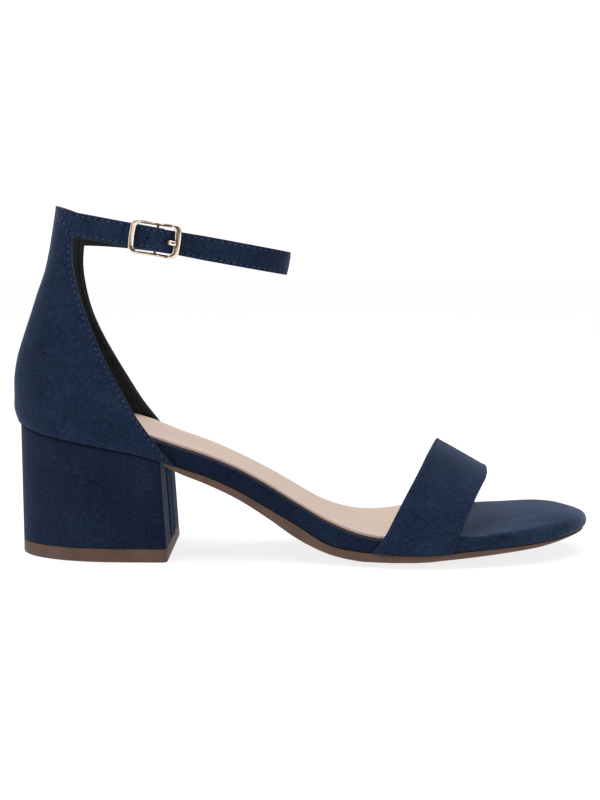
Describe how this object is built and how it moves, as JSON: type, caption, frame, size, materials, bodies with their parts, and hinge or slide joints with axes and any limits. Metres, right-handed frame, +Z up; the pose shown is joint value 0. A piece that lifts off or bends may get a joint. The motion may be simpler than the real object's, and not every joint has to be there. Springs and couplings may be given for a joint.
{
  "type": "block heel sandal",
  "caption": "Open-toe ankle strap sandal for the right foot, with a covered block heel, a closed heel counter, a wide vamp band and a small frame buckle.",
  "frame": {"origin": "on the floor, under the middle of the sandal's bounding box", "axes": "+X towards the toe, +Y towards the inner side of the right foot, +Z up; the buckle side faces -Y"},
  "size_m": [0.239, 0.0814, 0.1424],
  "materials": {
    "navy_suede": "matt microsuede nap, dark navy",
    "beige_lining": "smooth, slightly satin insole lining",
    "brown_rubber": "matt, fine grain",
    "gold_metal": "polished pale gold plating"
  },
  "bodies": {
    "root": {"outsole": "brown_rubber", "footbed": "navy_suede", "insole": "beige_lining", "heel_block": "navy_suede", "heel_top_piece": "brown_rubber", "counter_and_ankle_strap": "navy_suede", "vamp_band": "navy_suede", "buckle_frame": "gold_metal", "buckle_prong": "gold_metal"}
  },
  "joints": []
}
